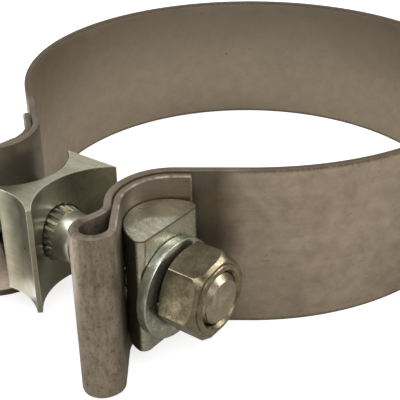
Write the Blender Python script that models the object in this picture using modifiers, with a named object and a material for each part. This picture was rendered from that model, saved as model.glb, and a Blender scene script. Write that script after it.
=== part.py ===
"""Flat band clamp for a lap joint between two exhaust pipes, nominal 3.5 inch.

One steel strip forms the ring. Each end runs out into a lug, turns back in a loop and lies doubled behind
itself, so that a half-round bar can press on it. One bolt draws the lugs together over a spacer block.

Frame: +X from the ring's centre to the lugs, +Y along the bolt towards the nut, +Z along the pipe. The
origin is the centre of the bounding box's underside, so the clamp stands on the band's lower edge.
"""

import math

import bmesh
import bpy
from mathutils import Matrix, Vector

MM = 0.001
GAP = 0.25 * MM             # clearance kept between pieces that touch

# Band
RING_RADIUS = 50.0 * MM     # outside, as an average: the open ring is slightly oval
OVALITY = 0.0115            # longer towards the lugs, shorter along the bolt
BAND_THICKNESS = 1.3 * MM
BAND_WIDTH = 31.75 * MM
LAYER_GAP = 0.12 * MM       # between a lug's two layers
LOOP_RADIUS = 3.05 * MM     # middle of the strip, at the turn
LOOP_CENTRE = (70.6 * MM, 19.0 * MM)
LOOP_NECK_RADIUS = 4.0 * MM  # bend between the saddle and the loop
FREE_END_LENGTH = 3.0 * MM  # straight stretch that ends the folded layer
RING_STEP = 5.0             # degrees of arc to a flat on the ring
BEND_STEP = 12.0            # and on the lugs' small bends

# The head's lug is sprung in a little, and its bar sits off the bolt's axis by the play in its hole
HEAD_SIDE_PINCH = 0.029     # of the radius, beside the lug, fading out towards the back of the ring
HEAD_SIDE_SHIFT = (-0.8 * MM, 0.4 * MM)     # of the whole lug, from the mirror image of the nut's lug

# Hardware on the bolt's axis
BOLT_X = 57.0 * MM
BAR_RADIUS = 7.75 * MM      # half-round bar
BAR_FLAT = 1.0 * MM         # narrow side flat next to the bar's face
BAR_LENGTH = 21.75 * MM
BAR_FACE_Y = 22.8 * MM      # the flat face that the washer bears on
BAR_HOLE_RADIUS = 6.0 * MM

BLOCK_LENGTH = 21.2 * MM
BLOCK_NEAR_INNER = (46.4 * MM, 1.6 * MM)    # its four corners, in plan
BLOCK_NEAR_OUTER = (67.7 * MM, 0.7 * MM)
BLOCK_FAR_INNER = (46.5 * MM, -10.9 * MM)
BLOCK_FAR_OUTER = (65.1 * MM, -10.9 * MM)
BLOCK_BITE = 5.0 * MM       # depth of the hollows that the lugs close on
BLOCK_HOLLOW = 1.1 * MM     # depth of the shallow hollow in the outer side
BLOCK_TIP = 0.7 * MM        # corner taken off each outer tip
BLOCK_HOLE_RADIUS = 5.95 * MM

HEX_ACROSS_FLATS = 13.8 * MM
HEAD_HEIGHT = 6.2 * MM
THREAD_RADIUS = 4.45 * MM   # pitch line of the 3/8 inch thread
NECK_RADIUS = 4.2 * MM
SHOULDER_RADIUS = 4.95 * MM
KNURL_RADIUS = 5.6 * MM
KNURL_START_Y = -7.6 * MM
KNURL_END_Y = -1.7 * MM
DOME_END_Y = 2.2 * MM
THREAD_START_Y = 4.0 * MM
BOLT_TIP_Y = 33.3 * MM
TIP_CHAMFER = 1.0 * MM

WASHER_RADIUS = 8.45 * MM
WASHER_HOLE_RADIUS = 5.3 * MM
WASHER_THICKNESS = 1.7 * MM
WASHER_OFFSET = (0.5 * MM, -0.25 * MM)      # it hangs off the axis, in x and z
NUT_THICKNESS = 7.8 * MM
NUT_BORE_RADIUS = 4.75 * MM
NUT_FACE_RADIUS = 6.25 * MM  # of the flat left inside each end's chamfer
NUT_TURN = -9.7             # degrees, where one corner stands at rest, from +X towards +Z

FIRST_CORNER = -30          # degrees, where along_y leaves a hexagon's corner

# Colours of the bare and the zinc plated steel
BAND_COLOUR = (0.27, 0.24, 0.21, 1.0)
ZINC_COLOUR = (0.50, 0.49, 0.44, 1.0)
NUT_COLOUR = (0.40, 0.37, 0.29, 1.0)


# Plan geometry, as lists of (x, y) ---------------------------------------------------------------

def arc(centre, radius, start, end, step):
    """Points on a circle from one angle to another, in degrees; it turns clockwise where end is smaller."""
    count = max(1, round(abs(end - start) / step))
    angles = [math.radians(start + (end - start) * i / count) for i in range(count + 1)]
    return [(centre[0] + radius * math.cos(a), centre[1] + radius * math.sin(a)) for a in angles]


def bearing(start, end):
    """Direction from one point to another, in degrees from 0 to 360."""
    return math.degrees(math.atan2(end[1] - start[1], end[0] - start[0])) % 360


def cross_tangent(centre, radius, other, other_radius):
    """How far a line that passes between two circles leaves the line of centres, in degrees."""
    return math.degrees(math.acos((radius + other_radius) / math.dist(centre, other)))


def bridging_centre(centre, radius, other, other_radius):
    """Centre of the circle at these distances from two points, on the right going from one to the other."""
    between = math.dist(centre, other)
    along = (radius ** 2 - other_radius ** 2 + between ** 2) / (2 * between)
    aside = math.sqrt(radius ** 2 - along ** 2)
    ux, uy = (other[0] - centre[0]) / between, (other[1] - centre[1]) / between
    return centre[0] + along * ux + aside * uy, centre[1] + along * uy - aside * ux


def inset(x, pinch, radius):
    """Scale that pulls a point of the ring inwards, from nothing at the back to the full pinch in front."""
    return 1 - pinch * ((1 + x / radius) / 2) ** 2


def half_strip(shift=(0, 0), pinch=0):
    """Middle line of the strip on one side, from the back of the ring to the folded layer's end.

    It is worked out on a round ring, which is then made oval, lug and all. It lies at +Y: the head's side is
    mirrored afterwards.
    """
    longer, shorter = 1 + OVALITY, 1 - OVALITY
    saddle = ((BOLT_X + shift[0]) / longer, (BAR_FACE_Y + shift[1]) / shorter)
    loop = ((LOOP_CENTRE[0] + shift[0]) / longer, (LOOP_CENTRE[1] + shift[1]) / shorter)
    full_radius = RING_RADIUS - BAND_THICKNESS / 2
    ring_radius = full_radius * (1 - pinch * 0.8)
    back_radius = BAR_RADIUS + GAP + BAND_THICKNESS / 2
    front_radius = back_radius + BAND_THICKNESS + LAYER_GAP
    neck = bridging_centre(saddle, front_radius + LOOP_NECK_RADIUS, loop, LOOP_RADIUS + LOOP_NECK_RADIUS)

    leave = bearing((0, 0), saddle) + cross_tangent((0, 0), ring_radius, saddle, front_radius)
    points = [(x * inset(x, pinch, full_radius), y * inset(x, pinch, full_radius))
              for x, y in arc((0, 0), full_radius, 180, leave, RING_STEP)]
    points += arc(saddle, front_radius, leave + 180, bearing(saddle, neck), BEND_STEP)
    points += arc(neck, LOOP_NECK_RADIUS, bearing(neck, saddle), bearing(neck, loop), BEND_STEP)[1:]

    turn = bearing(loop, saddle) - cross_tangent(loop, LOOP_RADIUS, saddle, back_radius)
    points += arc(loop, LOOP_RADIUS, bearing(loop, neck) - 360, turn, BEND_STEP * 2)[1:]
    points += arc(saddle, back_radius, turn + 180, leave + 180, BEND_STEP)
    end = math.radians(leave + 90)
    last = points[-1]
    points.append((last[0] + FREE_END_LENGTH * math.cos(end), last[1] + FREE_END_LENGTH * math.sin(end)))
    return [(x * longer, y * shorter) for x, y in points]


def whole_strip():
    """Middle line of the strip from the folded end on the head's side to the one on the nut's side."""
    head_side = half_strip(HEAD_SIDE_SHIFT, HEAD_SIDE_PINCH)
    return [(x, -y) for x, y in reversed(head_side)] + half_strip()[1:]


def box_centre():
    """Middle of the clamp's length and width, seen from the ring's centre."""
    along = [x for x, y in whole_strip()]
    across = [y for x, y in whole_strip()]
    return (min(along) + max(along)) / 2, (min(across) + max(across)) / 2


# Making objects --------------------------------------------------------------------------------

def clear_scene():
    for old in list(bpy.data.objects):
        bpy.data.objects.remove(old, do_unlink=True)


def collection(name):
    made = bpy.data.collections.new(name)
    bpy.context.scene.collection.children.link(made)
    return made


def add_object(name, data, into, parent=None):
    made = bpy.data.objects.new(name, data)
    into.objects.link(made)
    made.parent = parent
    return made


def steel(name, colour, roughness, metallic):
    made = bpy.data.materials.new(name)
    made.use_nodes = True
    shader = made.node_tree.nodes["Principled BSDF"]
    shader.inputs["Base Color"].default_value = colour
    shader.inputs["Roughness"].default_value = roughness
    shader.inputs["Metallic"].default_value = metallic
    made.diffuse_color = colour
    return made


def mesh_from(shape, name):
    """A mesh from a bmesh, smooth where it is round."""
    bmesh.ops.recalc_face_normals(shape, faces=shape.faces)
    mesh = bpy.data.meshes.new(name)
    shape.to_mesh(mesh)
    shape.free()
    mesh.shade_smooth()
    mesh.set_sharp_from_angle(angle=math.radians(30))
    return mesh


def extruded(name, outline, length):
    """A closed outline in plan, raised to a length that is centred on z = 0."""
    curve = bpy.data.curves.new(name, "CURVE")
    curve.dimensions = "2D"
    curve.fill_mode = "BOTH"
    curve.extrude = length / 2
    curve.render_resolution_u = 0
    spline = curve.splines.new("POLY")
    spline.points.add(len(outline) - 1)
    for point, (x, y) in zip(spline.points, outline):
        point.co = (x, y, 0, 1)
    spline.use_cyclic_u = True

    holder = bpy.data.objects.new(name, curve)
    bpy.context.scene.collection.objects.link(holder)
    bpy.context.view_layer.update()
    evaluated = holder.evaluated_get(bpy.context.evaluated_depsgraph_get())
    shape = bmesh.new()
    shape.from_mesh(bpy.data.meshes.new_from_object(evaluated))
    bpy.data.objects.remove(holder, do_unlink=True)
    bmesh.ops.remove_doubles(shape, verts=shape.verts, dist=0.00001)
    return mesh_from(shape, name)


def along_y(shape, centre_y):
    """Lay a shape made on +Z along +Y, centred at y."""
    bmesh.ops.transform(shape, matrix=Matrix.Rotation(-math.pi / 2, 4, "X"), verts=shape.verts)
    bmesh.ops.translate(shape, vec=Vector((0, centre_y, 0)), verts=shape.verts)


def cylinder(name, radius, start_y, end_y, sides):
    """A cylinder, or with six sides a hexagon, on the bolt's axis."""
    shape = bmesh.new()
    bmesh.ops.create_cone(shape, cap_ends=True, segments=sides, radius1=radius, radius2=radius,
                          depth=end_y - start_y)
    along_y(shape, (start_y + end_y) / 2)
    return mesh_from(shape, name)


def turned(name, profile, into, parent, steps=48):
    """A turned piece on the bolt's axis. Its profile lists (radius, y) down its outer side, axis to axis."""
    shape = bmesh.new()
    points = [shape.verts.new((radius, y, 0)) for radius, y in profile]
    for start, end in zip(points, points[1:]):
        shape.edges.new((start, end))
    mesh = bpy.data.meshes.new(name)
    shape.to_mesh(mesh)
    shape.free()
    made = add_object(name, mesh, into, parent)
    screw = made.modifiers.new("turned", "SCREW")
    screw.axis = "Y"
    screw.steps = screw.render_steps = steps
    screw.use_merge_vertices = True
    screw.merge_threshold = 0.00001
    return made


def boolean(target, operation, tool):
    modifier = target.modifiers.new(operation.lower(), "BOOLEAN")
    modifier.operation = operation
    modifier.solver = "EXACT"
    modifier.object = tool
    tool.hide_render = True
    tool.display_type = "WIRE"
    return modifier


# Pieces ------------------------------------------------------------------------------------------

def make_band(into, cutters, frame):
    """The strip: a ribbon through both halves' points, thickened, with a bolt hole through each lug."""
    path = whole_strip()
    shape = bmesh.new()
    lower = [shape.verts.new((x, y, -BAND_WIDTH / 2)) for x, y in path]
    upper = [shape.verts.new((x, y, BAND_WIDTH / 2)) for x, y in path]
    for i in range(len(path) - 1):
        shape.faces.new((lower[i], lower[i + 1], upper[i + 1], upper[i]))
    band = add_object("band", mesh_from(shape, "band"), into, frame)
    shell = band.modifiers.new("thickness", "SOLIDIFY")
    shell.thickness = BAND_THICKNESS
    shell.offset = 0
    shell.use_even_offset = True
    for side, sign in (("near", 1), ("far", -1)):
        ends = sorted((sign * 6 * MM, sign * BAR_FACE_Y))
        hole = add_object(side + "_lug_hole", cylinder(side + "_lug_hole", BAR_HOLE_RADIUS, *ends, 32),
                          cutters, frame)
        hole.location.x = BOLT_X
        boolean(band, "DIFFERENCE", hole)
    return band


def bar_outline():
    """Half round, with its face at y = 0 and a narrow flat beside the face at either end."""
    lean = math.degrees(math.asin(BAR_FLAT / BAR_RADIUS))
    side = BAR_RADIUS * math.cos(math.radians(lean))
    round_side = arc((0, 0), BAR_RADIUS, -lean, lean - 180, 9)
    return [(side, 0)] + round_side + [(-side, 0)]


def make_bar(name, side, shift, into, cutters, parent):
    """A half-round bar across a lug, its round side on the lug. side is 1 for the nut's lug, -1 for the head's."""
    bar = add_object(name, extruded(name, [(x, side * y) for x, y in bar_outline()], BAR_LENGTH), into, parent)
    bar.location = (shift[0], side * (BAR_FACE_Y + shift[1]), 0)
    hole = add_object(name + "_hole", cylinder(name + "_hole", BAR_HOLE_RADIUS, -12 * MM, 12 * MM, 32),
                      cutters, bar)
    hole.location.x = -shift[0]
    boolean(bar, "DIFFERENCE", hole)
    return bar


def hollow(start, end, depth, step):
    """A shallow arc between two points, bulging to the left of the way it runs."""
    half = math.dist(start, end) / 2
    radius = (half ** 2 + depth ** 2) / (2 * depth)
    ux, uy = (end[0] - start[0]) / (2 * half), (end[1] - start[1]) / (2 * half)
    away = radius - depth
    centre = ((start[0] + end[0]) / 2 + away * uy, (start[1] + end[1]) / 2 - away * ux)
    first = bearing(centre, start)
    sweep = 2 * math.degrees(math.asin(half / radius))
    return arc(centre, radius, first, first - sweep, step)


def block_outline():
    """Both lug sides are deep hollows, the outer side a shallow one, and the inner side is flat."""
    near_tip = (BLOCK_NEAR_OUTER[0] - BLOCK_TIP, BLOCK_NEAR_OUTER[1])
    far_tip = (BLOCK_FAR_OUTER[0] - BLOCK_TIP, BLOCK_FAR_OUTER[1])
    outer_start = (BLOCK_FAR_OUTER[0], BLOCK_FAR_OUTER[1] + BLOCK_TIP)
    outer_end = (BLOCK_NEAR_OUTER[0], BLOCK_NEAR_OUTER[1] - BLOCK_TIP)
    near_side = hollow(near_tip, BLOCK_NEAR_INNER, BLOCK_BITE, 7)
    far_side = hollow(BLOCK_FAR_INNER, far_tip, BLOCK_BITE, 7)
    return near_side + far_side + hollow(outer_start, outer_end, BLOCK_HOLLOW, 7)


def make_block(into, cutters, parent):
    """The spacer block that both lugs close on."""
    outline = [(x - BOLT_X, y) for x, y in block_outline()]
    block = add_object("spacer_block", extruded("spacer_block", outline, BLOCK_LENGTH), into, parent)
    hole = add_object("spacer_block_hole",
                      cylinder("spacer_block_hole", BLOCK_HOLE_RADIUS, -16 * MM, 8 * MM, 32), cutters, block)
    boolean(block, "DIFFERENCE", hole)
    return block


def make_bolt(into, cutters, parent):
    """Hexagon head, plain shoulder, knurl with a domed end, reduced neck and threaded length."""
    head_face = -BAR_FACE_Y - HEAD_SIDE_SHIFT[1] - GAP
    profile = [(0, BOLT_TIP_Y), (THREAD_RADIUS - TIP_CHAMFER, BOLT_TIP_Y),
               (THREAD_RADIUS, BOLT_TIP_Y - TIP_CHAMFER), (THREAD_RADIUS, THREAD_START_Y),
               (NECK_RADIUS, THREAD_START_Y - (THREAD_RADIUS - NECK_RADIUS)), (NECK_RADIUS, DOME_END_Y)]
    dome_length = DOME_END_Y - KNURL_END_Y
    dome_rise = SHOULDER_RADIUS - NECK_RADIUS
    for i in range(1, 5):
        angle = math.pi / 2 * i / 5
        profile.append((NECK_RADIUS + dome_rise * math.sin(angle), KNURL_END_Y + dome_length * math.cos(angle)))
    profile += [(SHOULDER_RADIUS, KNURL_END_Y), (KNURL_RADIUS, KNURL_END_Y), (KNURL_RADIUS, KNURL_START_Y),
                (SHOULDER_RADIUS, KNURL_START_Y), (SHOULDER_RADIUS, head_face - HEAD_HEIGHT / 2),
                (0, head_face - HEAD_HEIGHT / 2)]
    bolt = turned("bolt", profile, into, parent)
    head = add_object("bolt_head_shape", cylinder("bolt_head_shape", HEX_ACROSS_FLATS / math.sqrt(3),
                                                  head_face - HEAD_HEIGHT, head_face, 6), cutters, bolt)
    boolean(bolt, "UNION", head)
    return bolt


def make_washer(into, parent):
    """Flat washer between the bar and the nut, its back face at y = 0."""
    profile = [(WASHER_HOLE_RADIUS, WASHER_THICKNESS), (WASHER_RADIUS, WASHER_THICKNESS),
               (WASHER_RADIUS, 0), (WASHER_HOLE_RADIUS, 0), (WASHER_HOLE_RADIUS, WASHER_THICKNESS)]
    washer = turned("washer", profile, into, parent)
    washer.location = (WASHER_OFFSET[0], BAR_FACE_Y + GAP, WASHER_OFFSET[1])
    return washer


def make_nut(into, cutters, parent):
    """Hexagon nut, its corners chamfered at both ends, bored clear of the thread. Its middle is at y = 0."""
    half = NUT_THICKNESS / 2
    corner = HEX_ACROSS_FLATS / math.sqrt(3)
    chamfer = math.tan(math.radians(30))
    rise = (corner - NUT_FACE_RADIUS) * chamfer
    nut = add_object("nut", cylinder("nut", corner, -half, half, 6), into, parent)
    nut.rotation_euler.y = math.radians(FIRST_CORNER - NUT_TURN)
    profile = [(0, half), (NUT_FACE_RADIUS, half), (corner, half - rise), (corner, rise - half),
               (NUT_FACE_RADIUS, -half), (0, -half)]
    barrel = turned("nut_chamfer", profile, cutters, nut)
    boolean(nut, "INTERSECT", barrel)
    bore = add_object("nut_bore", cylinder("nut_bore", NUT_BORE_RADIUS, -2 * half, 2 * half, 48), cutters, nut)
    boolean(nut, "DIFFERENCE", bore)
    return nut


def empty(name, into, parent, location=(0, 0, 0)):
    made = add_object(name, None, into, parent)
    made.location = location
    made.empty_display_size = 10 * MM
    return made


def main():
    clear_scene()
    clamp, cutters = collection("band_clamp"), collection("cutters")
    band_steel = steel("band_steel", BAND_COLOUR, 0.5, 0.75)
    zinc = steel("zinc", ZINC_COLOUR, 0.35, 0.85)
    nut_zinc = steel("nut_zinc", NUT_COLOUR, 0.38, 0.85)

    centre_x, centre_y = box_centre()
    frame = empty("ring_centre", clamp, None, (-centre_x, -centre_y, BAND_WIDTH / 2))
    axis = empty("bolt_axis", clamp, frame, (BOLT_X, 0, 0))
    block_slide = empty("block_slide", clamp, axis)
    nut_side = empty("nut_side_slide", clamp, axis)
    nut_middle = BAR_FACE_Y + 2 * GAP + WASHER_THICKNESS + NUT_THICKNESS / 2
    nut_axis = empty("nut_axis", clamp, nut_side, (0, nut_middle, 0))

    finished = [
        (make_band(clamp, cutters, frame), band_steel),
        (make_bar("head_side_bar", -1, HEAD_SIDE_SHIFT, clamp, cutters, axis), zinc),
        (make_bolt(clamp, cutters, axis), zinc),
        (make_block(clamp, cutters, block_slide), zinc),
        (make_bar("nut_side_bar", 1, (0, 0), clamp, cutters, nut_side), zinc),
        (make_washer(clamp, nut_side), zinc),
        (make_nut(clamp, cutters, nut_axis), nut_zinc),
    ]
    for piece, material in finished:
        piece.data.materials.append(material)


main()
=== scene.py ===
"""Looks of the band clamp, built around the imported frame.

Every piece is rebuilt finely where the frame puts it: the strip as a swept section with sheared
edges, the bars and the block with broken edges, the bolt with its thread and knurl. Lengths are in
metres and angles in degrees, unless a name says otherwise.
"""

import math

import bmesh
import bpy
import numpy as np
from mathutils import Matrix, Vector


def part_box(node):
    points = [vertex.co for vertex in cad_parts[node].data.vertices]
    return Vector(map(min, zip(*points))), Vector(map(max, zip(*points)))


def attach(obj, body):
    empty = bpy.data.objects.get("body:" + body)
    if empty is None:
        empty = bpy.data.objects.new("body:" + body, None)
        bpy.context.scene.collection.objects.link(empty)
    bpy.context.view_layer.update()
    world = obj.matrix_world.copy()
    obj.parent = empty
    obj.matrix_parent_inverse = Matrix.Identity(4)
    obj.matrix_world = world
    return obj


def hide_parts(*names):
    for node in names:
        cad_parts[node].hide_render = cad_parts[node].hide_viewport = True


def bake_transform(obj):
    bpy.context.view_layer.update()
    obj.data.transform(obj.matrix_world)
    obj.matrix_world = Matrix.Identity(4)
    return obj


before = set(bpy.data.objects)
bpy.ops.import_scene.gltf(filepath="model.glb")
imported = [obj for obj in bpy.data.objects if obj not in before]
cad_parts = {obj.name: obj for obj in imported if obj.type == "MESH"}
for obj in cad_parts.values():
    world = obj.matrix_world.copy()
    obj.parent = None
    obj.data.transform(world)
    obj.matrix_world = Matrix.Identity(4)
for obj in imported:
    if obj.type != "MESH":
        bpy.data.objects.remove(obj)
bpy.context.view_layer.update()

MM = 0.001

# Strip. Plan sizes are measured from the ring's centre, and the head's side mirrors the nut's side
# but for its shift, its pinch and its longer free end
RING_RADIUS = 50.0 * MM
OVALITY = 0.0115
THICKNESS = 1.3 * MM
WIDTH = 31.75 * MM
LAYER_GAP = 0.12 * MM
LUG_RADIUS = 8.65 * MM
LOOP_RADIUS = 3.05 * MM
LOOP_CENTRE = (70.82 * MM, 18.6 * MM)
LOOP_NECK_RADIUS = 4.0 * MM
FREE_END = 3.0 * MM
HEAD_SIDE_FREE_END = 5.2 * MM
HEAD_SIDE_SHIFT = (-0.8 * MM, 0.4 * MM)
HEAD_SIDE_PINCH = 0.029
PINCH_AT_LUG = 0.8
RING_STEP, BEND_STEP, SPAN_STEP = 1.5, 4.0, 1.0 * MM

# Strip's section. In the loop it is flatter in plan, thicker on the inside and rounder at its edges
EDGE_RADIUS = 0.38 * MM
EDGE_STEP = 30
END_ROWS = (0.0, 0.15, 0.5, 1.0)
END_THINNING = 0.8
FACE_ROWS = 8
LOOP_FLATTENED = 0.9
LOOP_THICKENED = 0.75
LOOP_ROUNDED = 0.33 * MM
LOOP_FADE = 3.0 * MM
FOLD_TOP_DROP = 0.47 * MM
LUG_BOTTOM_RISE = 0.12 * MM
LUG_BOTTOM_FADE = 9.0 * MM
FOLD_TOP_FADE = (0.8, 0.86)

# Strip's wear and painted shade. The painted shade runs along it from the ring's end, over the lug
# and the fold, to its tip
BEND_SHADE = (0.0, 0.8, 0.4, 0.46, 0.62)
# Painted shade also lies in the loops, more towards their top, on their outer face and at the top
# of the bore; the outer face is a little darker throughout
LOOP_SHADE_BY_HEIGHT = (-0.18, 0, 0.25)
CURL_SHADE = 0.85
BORE_TOP_SHADE = 0.36
OUTSIDE_DARKENING = 0.13
FOLD_BENT = 0.1
# The head side's folded layer takes little of the lug share, so its edges stay dark: painted shade
HEAD_SIDE_FOLD_SHADED_SHARE = 0.25

# Bars and block. Plan sizes are measured from the ring's centre, and holes run along Y
BOLT_X = 57.0 * MM
BAR_RADIUS = 7.85 * MM
BAR_FACE_Y = 22.8 * MM
BAR_CORNER_RADIUS = 1.45 * MM
BAR_CORNER_STEP = 10
# How far behind the flat face the round back starts to get painted shade
BAR_SHADE_DEPTH = BAR_CORNER_RADIUS * 0.9
BAR_END_SLOPE = 0.08
BAR_BREAK = 0.2 * MM
HOLE_RADIUS = 6.0 * MM
HOLE_STRETCH = 1.06
STRIP_HOLE_Y = (-5.0 * MM, 5.0 * MM)
BAR_HOLE_Y = (-30.0 * MM, 30.0 * MM)
BLOCK_NEAR_INNER = (46.4 * MM, 1.6 * MM)
BLOCK_NEAR_OUTER = (67.7 * MM, 0.7 * MM)
BLOCK_FAR_INNER = (46.5 * MM, -10.9 * MM)
BLOCK_FAR_OUTER = (65.1 * MM, -10.9 * MM)
BLOCK_BITE = 5.0 * MM
BLOCK_HOLLOW = 1.1 * MM
BLOCK_TIP = 0.7 * MM
BLOCK_BREAK = 0.14 * MM
BLOCK_HOLE_RADIUS = 5.5 * MM
BLOCK_HOLE_Y = (-16.0 * MM, 8.0 * MM)
BREAK_ANGLE = 35
UPRIGHT_NORMAL = 0.3
ARC_STEP = 3
ROUND_SIDES = 96

# Bolt, from its head to its tip, with Y from the ring's centre
HEAD_ACROSS_FLATS = 13.8 * MM
HEAD_FACE_Y = -23.45 * MM
HEAD_COLLAR_HEIGHT = 0.4 * MM
HEAD_TOP_FACE = HEAD_ACROSS_FLATS * 0.46
HEAD_UNDER_FACE = HEAD_ACROSS_FLATS * 0.48
HEAD_COLLAR_RADIUS = HEAD_ACROSS_FLATS * 0.47
SHOULDER_RADIUS = 4.7 * MM
SHOULDER_IN_HEAD = 1.0 * MM
NECK_RADIUS = 4.2 * MM
DOME_END_Y = 2.4 * MM
DOME_STEP = 6
KNURL_RADIUS = 5.2 * MM
KNURL_ROOT = SHOULDER_RADIUS - 0.15 * MM
KNURL_START_Y = -7.6 * MM
KNURL_LEAD = 0.4 * MM
KNURL_TAPER_Y = -2.6 * MM
KNURL_END_Y = -1.3 * MM
KNURL_END_HEIGHT = 0.35
KNURL_TEETH = 24
KNURL_POINTS = 10
KNURL_CREST, KNURL_FLANK = 1.7, 3.4
PITCH = 25.4 / 16 * MM
THREAD_RADIUS = 4.6 * MM
THREAD_ROOT = 4.05 * MM
THREAD_START_Y = 4.0 * MM
THREAD_SIDES = 60
THREAD_LEVELS = 12
THREAD_CREST, THREAD_FLANK = 1.25, 2.6
TIP_CHAMFER = 1.1 * MM

# Nut and washer
NUT_ACROSS_FLATS = 13.8 * MM
NUT_TURN = -9.7
NUT_BACK_FACE = 6.25 * MM
NUT_BEVEL_DEPTH = 1.0 * MM
NUT_CORNER_DEPTH = 1.0 * MM
NUT_COLLAR_RADIUS = 6.15 * MM
NUT_COLLAR_HEIGHT = 0.46 * MM
NUT_COLLAR_INSET = 0.62 * MM
NUT_COLLAR_TURNS = (25, 50, 75, 90)
NUT_FLARE = 0.15 * MM
NUT_FLARE_DEPTH = 0.45 * MM
NUT_FLARE_SQUARENESS = 0.6
NUT_SINK_RADIUS = 5.2 * MM
NUT_BORE_RADIUS = 4.75 * MM
NUT_SINK_DROP = 0.02 * MM
NUT_SINK_STEEPNESS = 1.3
HEX_CORNER_RADIUS = 0.3 * MM
HEX_STEP = 0.7 * MM
CHAMFER_SLOPE = math.tan(math.radians(30))
WASHER_RADIUS = 8.9 * MM
WASHER_BORE = 5.7 * MM
WASHER_EDGE = 0.22 * MM
WASHER_SEAT = 0.2 * MM
WASHER_SAG = (0.3 * MM, -0.35 * MM)
WASHER_SIDES = 128
FLAT_NORMAL = 0.95
WELD_DISTANCE = 0.002 * MM

# The ring's centre and the bolt's axis in the frame, from its band and bolt
band_low, band_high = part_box("band")
bolt_low, bolt_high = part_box("bolt")
MIDDLE_Z = (band_low.z + band_high.z) / 2
AXIS_X = (bolt_low.x + bolt_high.x) / 2
CENTRE_X = AXIS_X - BOLT_X
CENTRE_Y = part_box("nut_side_bar")[1].y - BAR_FACE_Y


# Plan geometry, as lists of (x, y) from the ring's centre

def arc(centre, radius, start, end, step):
    """Points on a circle from one angle to another; it turns clockwise where end is smaller."""
    count = max(1, round(abs(end - start) / step))
    angles = [math.radians(start + (end - start) * i / count) for i in range(count + 1)]
    return [(centre[0] + radius * math.cos(a), centre[1] + radius * math.sin(a)) for a in angles]


def straight(start, end, step):
    """Points from start to end, without either of them."""
    count = max(1, round(math.dist(start, end) / step))
    return [tuple(Vector(start).lerp(Vector(end), i / count)) for i in range(1, count)]


def bearing(start, end):
    """Direction from one point to another, from 0 to 360."""
    return math.degrees(math.atan2(end[1] - start[1], end[0] - start[0])) % 360


def cross_tangent(centre, radius, other, other_radius):
    """How far a line that passes between two circles leaves the line of their centres."""
    return math.degrees(math.acos((radius + other_radius) / math.dist(centre, other)))


def bridging_centre(centre, radius, other, other_radius):
    """Centre of the circle at these distances from two points, on the right going between them."""
    between = math.dist(centre, other)
    along = (radius ** 2 - other_radius ** 2 + between ** 2) / (2 * between)
    aside = math.sqrt(radius ** 2 - along ** 2)
    ux, uy = (other[0] - centre[0]) / between, (other[1] - centre[1]) / between
    return centre[0] + along * ux + aside * uy, centre[1] + along * uy - aside * ux


def half_strip(shift, pinch, free_end):
    """Middle line of the strip on one side, from the ring's back to the end of the folded layer.

    It lies at +Y, as in the frame's part. The second list says which stretch each point belongs
    to: ring, lug, loop or fold.
    """
    longer, shorter = 1 + OVALITY, 1 - OVALITY
    saddle = ((BOLT_X + shift[0]) / longer, (BAR_FACE_Y + shift[1]) / shorter)
    loop = ((LOOP_CENTRE[0] + shift[0]) / longer, (LOOP_CENTRE[1] + shift[1]) / shorter)
    full_radius = RING_RADIUS - THICKNESS / 2
    ring_radius = full_radius * (1 - pinch * PINCH_AT_LUG)
    front_radius = LUG_RADIUS + THICKNESS + LAYER_GAP
    neck = bridging_centre(saddle, front_radius + LOOP_NECK_RADIUS,
                           loop, LOOP_RADIUS + LOOP_NECK_RADIUS)

    leave = bearing((0, 0), saddle) + cross_tangent((0, 0), ring_radius, saddle, front_radius)
    ring = []
    for x, y in arc((0, 0), full_radius, 180, leave, RING_STEP):
        inset = 1 - pinch * ((1 + x / full_radius) / 2) ** 2
        ring.append((x * inset, y * inset))

    lug = arc(saddle, front_radius, leave + 180, bearing(saddle, neck), BEND_STEP)
    lug = straight(ring[-1], lug[0], SPAN_STEP) + lug
    lug += arc(neck, LOOP_NECK_RADIUS, bearing(neck, saddle), bearing(neck, loop), BEND_STEP)[1:]

    turn = bearing(loop, saddle) - cross_tangent(loop, LOOP_RADIUS, saddle, LUG_RADIUS)
    curl = arc(loop, LOOP_RADIUS, bearing(loop, neck) - 360, turn, BEND_STEP)[1:]
    for i, (x, y) in enumerate(curl):
        flattened = max(0.0, ((x - loop[0]) + (y - loop[1])) / 2) * (1 - LOOP_FLATTENED)
        curl[i] = (x - flattened, y - flattened)

    fold = arc(saddle, LUG_RADIUS, turn + 180, leave + 180, BEND_STEP)
    fold = straight(curl[-1], fold[0], SPAN_STEP) + fold
    onward = math.radians(leave + 90)
    tip = (fold[-1][0] + free_end * math.cos(onward), fold[-1][1] + free_end * math.sin(onward))
    fold += straight(fold[-1], tip, SPAN_STEP) + [tip]

    stretches = ["ring"] * len(ring) + ["lug"] * len(lug)
    stretches += ["loop"] * len(curl) + ["fold"] * len(fold)
    return [(x * longer, y * shorter) for x, y in ring + lug + curl + fold], stretches


def hollow(start, end, depth):
    """A shallow arc between two points, bulging to the left of the way it runs."""
    half = math.dist(start, end) / 2
    radius = (half ** 2 + depth ** 2) / (2 * depth)
    ux, uy = (end[0] - start[0]) / (2 * half), (end[1] - start[1]) / (2 * half)
    away = radius - depth
    centre = ((start[0] + end[0]) / 2 + away * uy, (start[1] + end[1]) / 2 - away * ux)
    first = bearing(centre, start)
    sweep = 2 * math.degrees(math.asin(half / radius))
    return arc(centre, radius, first, first - sweep, ARC_STEP)


def filleted(points, radius, steps):
    """The closed outline with each corner turned in a curve of about this radius."""
    most = 0.45
    made = []
    for i, point in enumerate(points):
        here = Vector(point)
        before = Vector(points[i - 1]) - here
        after = Vector(points[(i + 1) % len(points)]) - here
        reach = radius / math.tan(before.angle(after) / 2)
        reach = min(reach, before.length * most, after.length * most)
        start, end = here + before.normalized() * reach, here + after.normalized() * reach
        for k in range(steps + 1):
            t = k / steps
            made.append(tuple(start * (1 - t) ** 2 + here * 2 * t * (1 - t) + end * t ** 2))
    return made


# Meshes

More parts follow.
